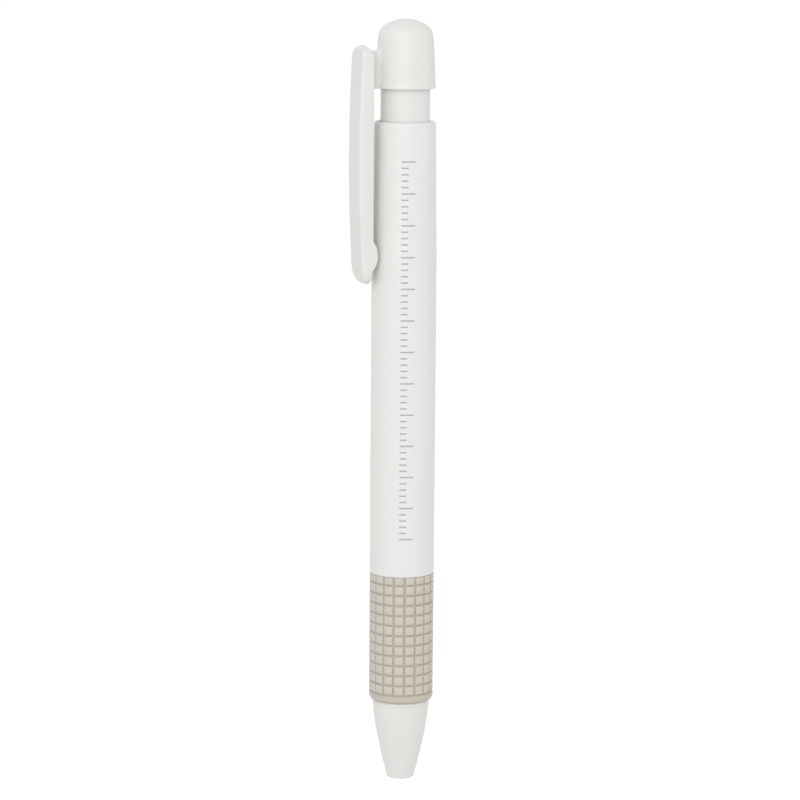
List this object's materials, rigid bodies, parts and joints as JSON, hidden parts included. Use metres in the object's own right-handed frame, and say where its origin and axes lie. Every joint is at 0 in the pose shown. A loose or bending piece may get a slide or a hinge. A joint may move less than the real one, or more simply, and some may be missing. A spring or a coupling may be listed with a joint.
{
  "type": "retractable eraser",
  "caption": "Pen-shaped click eraser holder with a tapered nose, ribbed grip, pocket clip on the cap and a round eraser stick fed by a spring-loaded chuck.",
  "frame": {"origin": "on the holder's axis in the plane of the nose's tip, where the eraser comes out", "axes": "+Z along the holder's axis from the nose to the cap; the clip is on the -X side; Y goes across the clip"},
  "size_m": [0.0138, 0.0104, 0.122],
  "materials": {
    "shell": "satin off-white moulded plastic",
    "grip": "matt warm grey moulded plastic",
    "inner_plastic": "natural moulded plastic",
    "seal_rubber": "matt rubber",
    "ring_brass": "turned brass",
    "spring_steel": "drawn wire",
    "eraser_rubber": "matt white eraser"
  },
  "bodies": {
    "barrel": {"barrel": "shell", "nose_cone": "shell", "grip_sleeve": "grip", "guide_sleeve": "inner_plastic", "eraser_retainer": "seal_rubber", "spring": "spring_steel"},
    "click_stem": {"knock_stem": "shell", "eraser_tube": "inner_plastic", "chuck": "inner_plastic"},
    "cap": {"knock_cap": "shell"},
    "ring": {"chuck_ring": "ring_brass"},
    "stick": {"eraser": "eraser_rubber"}
  },
  "joints": [
    {"name": "click_press", "type": "slide", "parent": "barrel", "child": "click_stem", "axis": [0, 0, -1], "range_m": [0, 0.005], "stiffness_N_per_m": 700, "springref_m": -0.0043, "deforming": ["spring"]},
    {"name": "cap_pull", "type": "slide", "parent": "click_stem", "child": "cap", "axis": [0, 0, 1], "range_m": [0, 0.01]},
    {"name": "ring_slide", "type": "slide", "parent": "barrel", "child": "ring", "axis": [0, 0, -1], "range_m": [0, 0.002]},
    {"name": "stick_feed", "type": "slide", "parent": "click_stem", "child": "stick", "axis": [0, 0, -1], "range_m": [0, 0.06]}
  ],
  "couplings": [
    {"joint": "ring_slide", "follows": "click_press", "ratio": 0.4}
  ]
}
